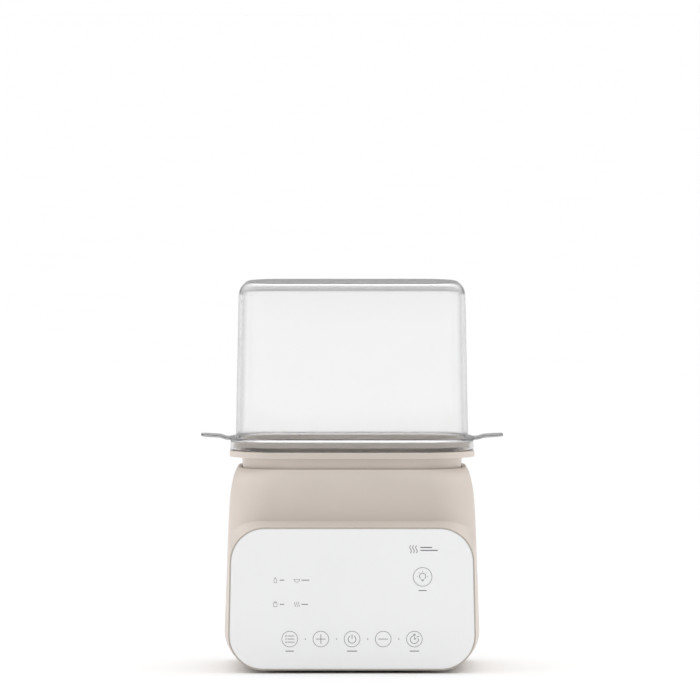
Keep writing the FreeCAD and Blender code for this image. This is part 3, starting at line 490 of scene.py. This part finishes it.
def glyph_bottle(ink):
    half = [(0.5, 1.4), (1.1, 0.8), (1.1, -2.2)]
    ink.line([(-u, v) for u, v in half[::-1]] + half + [(-1.1, -2.2)], ink.FINE)
    ink.line([(-0.5, 2.1), (0.5, 2.1)], 0.4)


def glyph_bowl(ink):
    ink.arc(0, 0.6, 2.4, 180, 360, ink.FINE)
    ink.line([(-2.8, 0.6), (2.8, 0.6)], ink.FINE)


def glyph_jar(ink):
    ink.line([(-1.5, -2.0), (-1.5, 1.2), (1.5, 1.2), (1.5, -2.0), (-1.5, -2.0)], ink.FINE)
    ink.line([(-1.2, 2.0), (1.2, 2.0)], 0.5)


WAVE_STEPS = 12
WAVE_SWING = 0.11              # of its height


def wave(ink, u, height, width):
    """One upright curl of steam."""
    points = []
    for i in range(WAVE_STEPS + 1):
        t = i / WAVE_STEPS
        points.append((u + WAVE_SWING * height * math.sin(t * 2 * math.pi), (t - 0.5) * height))
    ink.line(points, width)


def glyph_steam(ink):
    for u in (-1.7, 0.0, 1.7):
        wave(ink, u, 4.2, ink.FINE)


MODES = (                      # sign, place, length of the bar beside it
    (glyph_bottle, (-67.5, 82.3), 3.4),
    (glyph_bowl, (-48.4, 82.3), 6.4),
    (glyph_jar, (-67.5, 61.0), 3.4),
    (glyph_steam, (-48.4, 61.0), 5.2),
)
MODE_BAR = 4.2                 # where a mode's bar begins
MODE_LINE = 0.7


def print_modes():
    for i, (glyph, place, bar) in enumerate(MODES):
        ink = Print("print_mode_" + str(i), *place)
        glyph(ink)
        ink.line([(MODE_BAR, 0), (MODE_BAR + bar, 0)], MODE_LINE)
        ink.done()


def print_steam_mark():
    """Generic steam sign in the panel's upper corner."""
    ink = Print("print_steam_mark", *MARK_PLACE)
    for i in (-1, 0, 1):
        wave(ink, MARK_PITCH * i, 6.4, 0.6)
    ink.line([(6.4, -1.0), (21.0, -1.0)], 0.9)
    ink.line([(6.4, 1.6), (16.0, 1.6)], 0.9)
    ink.done()


# ---- clear lid ----------------------------------------------------------------------------
# Half sizes and corner radii in mm, about the pot's centre; heights from the frame's box.
LID_FOOT = LID[0].z / MM
LID_TOP = LID[1].z / MM
LID_WALL = 2.0
SKIRT = (107.6, 64.5, 42.5)
DOME = (103.0, 60.0, 38.0)
DOME_DRAFT = 2.8
DOME_EDGE = 11.5
DOME_WALL_STEPS = 5
DOME_EDGE_STEPS = 10
CROWN = 0.8                    # how far the top bulges at its middle
CROWN_REACH = 21.0
CROWN_SHARES = (0.35, 0.7, 1.0)
LEDGE_UNDER = LID_FOOT + 8.4
LEDGE_TOP = LEDGE_UNDER + LID_WALL - 0.1
LEDGE_EDGE = 1.6
# Roundings as steps (outwards from the outline named, upwards from the height named).
FOOT_OUTSIDE = ((-0.6, 0.0), (-0.15, 0.2), (0.0, 0.7), (0.0, 1.5))
FOOT_INSIDE = ((0.0, 1.2), (0.0, 0.4), (0.4, 0.0))
DOME_FILLET = ((1.3, 0.0), (0.35, 0.35))
DOME_FOOT_OUTSIDE = 1.2        # where the dome's straight wall begins, above the ledge
DOME_FOOT_INSIDE = 0.5
INSIDE_FILLET = ((0.15, 0.15), (0.5, 0.0))
SKIRT_FILLET = ((-0.5, 0.0), (-0.15, -0.15), (0.0, -0.5), (0.0, -1.3))
TAB_HALF = 18.0
TAB_EDGE = 0.5
TAB_HALF_COLUMNS = 4
TAB_CORNER = 10.0
TAB_END = LID[1].x / MM
TAB_LIFT = 0.1                 # its underside above the ledge's
TAB_T = 1.8
TAB_TIP_T = 0.8
TAB_SLIM = 0.45                # how much its long edges are rounded off above and below
TAB_RISE = 1.8                 # step up from the ledge to the grip
TAB_RISE_FROM = 110.0
TAB_RISE_RUN = 8.0
TAB_SLOPE = 0.06
TAB_SLOPE_FROM = 116.0
TAB_ROOT = 0.6                 # from the skirt to the first row
TAB_STEPS = 12
TAB_CORNER_STEPS = 7
TAB_SINK = 0.05                # the tab's upper side below the ledge's
TAB_LOW_LEVEL = 4              # the tab leaves the skirt between this level and the next
CORNER_STEPS = 16
SIDE_STEPS = 14


def tab_columns(half):
    """Places across a tab, closer together at its rounded edges."""
    inner = half - TAB_EDGE
    count = TAB_HALF_COLUMNS
    return [-half] + [inner * (i / count - 1) for i in range(2 * count + 1)] + [half]


def ring_places(size):
    """Points round a rounded rectangle, always as many; the short sides carry the tabs' columns."""
    hx, hy, r = size
    places = []
    for quarter in range(4):
        cx = (hx - r) * (1 if quarter in (0, 3) else -1)
        cy = (hy - r) * (1 if quarter in (0, 1) else -1)
        for i in range(CORNER_STEPS + 1):
            a = math.radians(90 * (quarter + i / CORNER_STEPS))
            places.append((cx + r * math.cos(a), cy + r * math.sin(a)))
        if quarter in (0, 2):
            for i in range(1, SIDE_STEPS):
                places.append((cx * (1 - 2 * i / SIDE_STEPS), cy + math.copysign(r, cy)))
        else:
            down = 1 if quarter == 3 else -1
            places += [(math.copysign(hx, cx), down * y) for y in tab_columns(TAB_HALF)]
    return places


def tab_starts():
    """Where in a ring the left and the right tab's columns begin."""
    left = 2 * (CORNER_STEPS + 1) + SIDE_STEPS - 1
    right = 4 * (CORNER_STEPS + 1) + 2 * (SIDE_STEPS - 1) + len(tab_columns(1.0))
    return left, right


def grown(size, more):
    return (size[0] + more, size[1] + more, size[2] + more)


def dome_size(z, inset):
    """Dome's outline at a height, moved in by inset."""
    return grown(DOME, -inset - DOME_DRAFT * (z - LEDGE_UNDER) / (LID_TOP - LEDGE_UNDER))


def dome_levels(inset, foot):
    """Wall, rounded edge and crowned top of the dome, from its foot up, moved in by inset."""
    top = LID_TOP - inset
    edge = DOME_EDGE - inset
    levels = []
    for i in range(DOME_WALL_STEPS + 1):
        z = foot + (top - edge - foot) * i / DOME_WALL_STEPS
        levels.append((dome_size(z, inset), z))
    for i in range(1, DOME_EDGE_STEPS + 1):
        a = math.radians(90 * i / DOME_EDGE_STEPS)
        z = top - edge + edge * math.sin(a)
        levels.append((grown(dome_size(top, inset), -edge * (1 - math.cos(a))), z))
    for share in CROWN_SHARES:
        size = grown(dome_size(top, inset), -edge - CROWN_REACH * share)
        levels.append((size, top + CROWN * (1 - (1 - share) ** 2)))
    return levels


def rounding(size, height, steps):
    """Levels of a rounding beside an outline and a height."""
    return [(grown(size, out), height + up) for out, up in steps]


def lid_levels():
    """Closed profile of the lid: (outline, height), up the outside and down the inside."""
    edge = ((0.0, -LEDGE_EDGE), (-0.3 * LEDGE_EDGE, -0.3 * LEDGE_EDGE), (-LEDGE_EDGE, 0.0))
    outside = rounding(SKIRT, LID_FOOT, FOOT_OUTSIDE)
    outside += [(SKIRT, LEDGE_UNDER + TAB_LIFT)]
    outside += rounding(SKIRT, LEDGE_TOP, edge)
    outside += rounding(DOME, LEDGE_TOP, DOME_FILLET)
    outside += dome_levels(0.0, LEDGE_TOP + DOME_FOOT_OUTSIDE)
    inside = dome_levels(LID_WALL, LEDGE_UNDER + DOME_FOOT_INSIDE)[::-1]
    inside += rounding(grown(DOME, -LID_WALL), LEDGE_UNDER, INSIDE_FILLET)
    inside += rounding(grown(SKIRT, -LID_WALL), LEDGE_UNDER, SKIRT_FILLET)
    inside += rounding(grown(SKIRT, -LID_WALL), LID_FOOT, FOOT_INSIDE)
    return outside, inside


def tab_rows():
    """(distance out, half width, underside's height, thickness) along a tab."""
    rows = []
    start = SKIRT[0] + TAB_ROOT
    straight = TAB_END - TAB_CORNER - start
    outs = [start + straight * i / TAB_STEPS for i in range(TAB_STEPS + 1)]
    widths = [TAB_HALF] * len(outs)
    for i in range(1, TAB_CORNER_STEPS + 1):
        a = math.radians(90 * i / TAB_CORNER_STEPS)
        outs.append(start + straight + TAB_CORNER * math.sin(a))
        widths.append(TAB_HALF - TAB_CORNER * (1 - math.cos(a)))
    for out, half in zip(outs, widths):
        t = min(1.0, max(0.0, (out - TAB_RISE_FROM) / TAB_RISE_RUN))
        rise = TAB_RISE * t * t * (3 - 2 * t) + TAB_SLOPE * max(0.0, out - TAB_SLOPE_FROM)
        rows.append((out, half, LEDGE_UNDER + TAB_LIFT + rise, TAB_T))
    rows[-1] = rows[-1][:3] + (TAB_TIP_T,)
    return rows


def add_tab(mesh, side, low_ring, high_ring):
    """Grip tab grown out of the gap between two rings' columns; side is -1 or 1."""
    columns = range(len(low_ring))
    low = low_ring
    high = high_ring
    for out, half, under, thick in tab_rows():
        next_low = []
        next_high = []
        for i in columns:
            y = side * tab_columns(half)[i]
            slim = TAB_SLIM if i in (0, columns[-1]) and thick == TAB_T else 0.0
            base = under + (TAB_T - thick) / 2 + slim
            top = under + (TAB_T + thick) / 2 - slim
            next_low.append(mesh.verts.new((side * out * MM, POT_Y + y * MM, base * MM)))
            next_high.append(mesh.verts.new((side * out * MM, POT_Y + y * MM, top * MM)))
        for i in columns[:-1]:
            mesh.faces.new((high[i], next_high[i], next_high[i + 1], high[i + 1]))
            mesh.faces.new((low[i], low[i + 1], next_low[i + 1], next_low[i]))
        mesh.faces.new((low[0], next_low[0], next_high[0], high[0]))
        mesh.faces.new((low[-1], high[-1], next_high[-1], next_low[-1]))
        low = next_low
        high = next_high
    for i in columns[:-1]:
        mesh.faces.new((low[i], low[i + 1], high[i + 1], high[i]))


def build_lid():
    """One closed clear shell: dome, ledge, skirt and both tabs."""
    mesh = bmesh.new()
    outside, inside = lid_levels()
    peak = len(outside) - 1
    starts = tab_starts()
    count = len(tab_columns(1.0))
    tab_places = set()
    for start in starts:
        tab_places.update(range(start, start + count))
    rings = []
    for level, (size, z) in enumerate(outside + inside):
        ring = []
        for i, (x, y) in enumerate(ring_places(size)):
            height = z
            if i in tab_places and level in (TAB_LOW_LEVEL + 1, TAB_LOW_LEVEL + 2):
                height = LEDGE_TOP - TAB_SINK
            ring.append(mesh.verts.new((x * MM, POT_Y + y * MM, height * MM)))
        rings.append(ring)
    total = len(rings[0])
    for level, lower in enumerate(rings):
        if level == peak:
            continue
        upper = rings[(level + 1) % len(rings)]
        for i in range(total):
            j = (i + 1) % total
            if level == TAB_LOW_LEVEL and i in tab_places and j in tab_places:
                continue
            mesh.faces.new((lower[i], lower[j], upper[j], upper[i]))
    mesh.faces.new(rings[peak])
    mesh.faces.new(rings[peak + 1][::-1])
    for side, start in zip((-1, 1), starts):
        low = rings[TAB_LOW_LEVEL][start:start + count]
        high = rings[TAB_LOW_LEVEL + 1][start:start + count]
        add_tab(mesh, side, low, high)
    bmesh.ops.recalc_face_normals(mesh, faces=mesh.faces)
    for face in mesh.faces:
        face.smooth = True
    lid = make_piece("clear_lid", mesh, MATERIALS["clear_lid"], "lid")
    normals = lid.modifiers.new("even_normals", "WEIGHTED_NORMAL")
    normals.mode = "FACE_AREA_WITH_ANGLE"
    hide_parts("lid")


# ---- stage, light and camera --------------------------------------------------------------
FLOOR_R = 70.0
FLOOR_DARK = (0.906, 0.906, 0.906, 1.0)
FLOOR_LIGHT = (0.912, 0.912, 0.912, 1.0)


def add_floor():
    """Pale paper floor that reaches beyond what any camera sees."""
    mesh = bmesh.new()
    bmesh.ops.create_circle(mesh, cap_ends=True, segments=96, radius=FLOOR_R)
    data = bpy.data.meshes.new("floor")
    mesh.to_mesh(data)
    mesh.free()
    surface = Surface("floor_paper")
    surface.link(surface.colours(surface.noise(3.0, 3.0), FLOOR_DARK, FLOOR_LIGHT), "Base Color")
    surface.link(surface.bump(surface.noise(900.0, 2.0), 0.04 * MM), "Normal")
    surface.set(Roughness=0.9, Specular_IOR_Level=0.1)
    data.materials.append(surface.material)
    floor = bpy.data.objects.new("floor", data)
    bpy.context.scene.collection.objects.link(floor)


BRIGHT_SIDE = (0.0, 0.20, 0.98)     # towards the lit ceiling of the studio
SURROUND_SPAN = (0.25, 0.75)        # cosines to that side, from dim to bright
SURROUND_DIM = 0.42
SURROUND_BRIGHT = 1.37
HORIZON_BRIGHT = 1.0
HORIZON_SINES = (0.008, 0.012)      # how high the floor's sweep is bright, and where it has faded


def add_world():
    """Studio surround: a bright ceiling over dimmer walls, which edge the clear plastic."""
    world = bpy.data.worlds.new("studio")
    bpy.context.scene.world = world
    world.use_nodes = True
    tree = world.node_tree
    place = new_node(tree, "ShaderNodeTexCoord").outputs["Generated"]
    towards = new_node(tree, "ShaderNodeVectorMath", {0: place, 1: BRIGHT_SIDE},
                       operation="DOT_PRODUCT")
    ramp = new_node(tree, "ShaderNodeMapRange",
                    {"Value": towards.outputs["Value"],
                     "From Min": SURROUND_SPAN[0], "From Max": SURROUND_SPAN[1],
                     "To Min": SURROUND_DIM, "To Max": SURROUND_BRIGHT},
                    interpolation_type="SMOOTHSTEP")
    height = new_node(tree, "ShaderNodeSeparateXYZ", {0: place}).outputs["Z"]
    sweep = new_node(tree, "ShaderNodeMapRange",
                     {"Value": height, "From Min": HORIZON_SINES[0], "From Max": HORIZON_SINES[1],
                      "To Min": HORIZON_BRIGHT, "To Max": 0.0})
    brighter = new_node(tree, "ShaderNodeMath", {0: ramp.outputs[0], 1: sweep.outputs[0]},
                        operation="MAXIMUM")
    background = tree.nodes["Background"]
    tree.links.new(brighter.outputs[0], background.inputs["Strength"])
    background.inputs["Color"].default_value = (1.0, 1.0, 1.0, 1.0)


SOFTBOXES = (                      # name, place, aim, width, height, watts
    ("left_softbox", (-2.0, -0.25, 0.35), (0, 0, 0.15), 1.0, 0.6, 10.0),
    ("right_softbox", (2.0, -0.25, 0.35), (0, 0, 0.15), 1.0, 0.6, 9.0),
    ("top_softbox", (0.0, -0.9, 2.0), (0, 0, 0.2), 1.2, 0.9, 2.0),
)


def add_softbox(name, place, aim, width, height, power):
    """Soft light that colours and shapes surfaces but isn't mirrored as a hard patch."""
    light = bpy.data.lights.new(name, "AREA")
    light.shape = "RECTANGLE"
    light.size = width
    light.size_y = height
    light.energy = power
    lamp = bpy.data.objects.new(name, light)
    lamp.location = place
    lamp.rotation_euler = (Vector(aim) - Vector(place)).to_track_quat("-Z", "Y").to_euler()
    lamp.visible_camera = False
    lamp.visible_transmission = False
    lamp.visible_glossy = False
    bpy.context.scene.collection.objects.link(lamp)


def add_camera():
    """Long lens in front of the panel, a little above it."""
    data = bpy.data.cameras.new("camera")
    data.sensor_width = SENSOR
    data.lens = SENSOR * VIEW_DISTANCE / VIEW_WIDTH
    data.clip_start, data.clip_end = CLIP
    camera = bpy.data.objects.new("camera", data)
    target = Vector((VIEW_X, POT_Y, VIEW_Z))
    back = Vector((0.0, -math.cos(VIEW_ELEVATION), math.sin(VIEW_ELEVATION)))
    camera.location = target + back * VIEW_DISTANCE
    camera.rotation_euler = (math.pi / 2 - VIEW_ELEVATION, 0.0, 0.0)
    bpy.context.scene.collection.objects.link(camera)
    bpy.context.scene.camera = camera


dress_nodes()
print_controls()
print_lamp()
print_modes()
print_steam_mark()
build_lid()
add_floor()
add_world()
for softbox in SOFTBOXES:
    add_softbox(*softbox)
add_camera()
bpy.context.scene.view_settings.view_transform = "Standard"
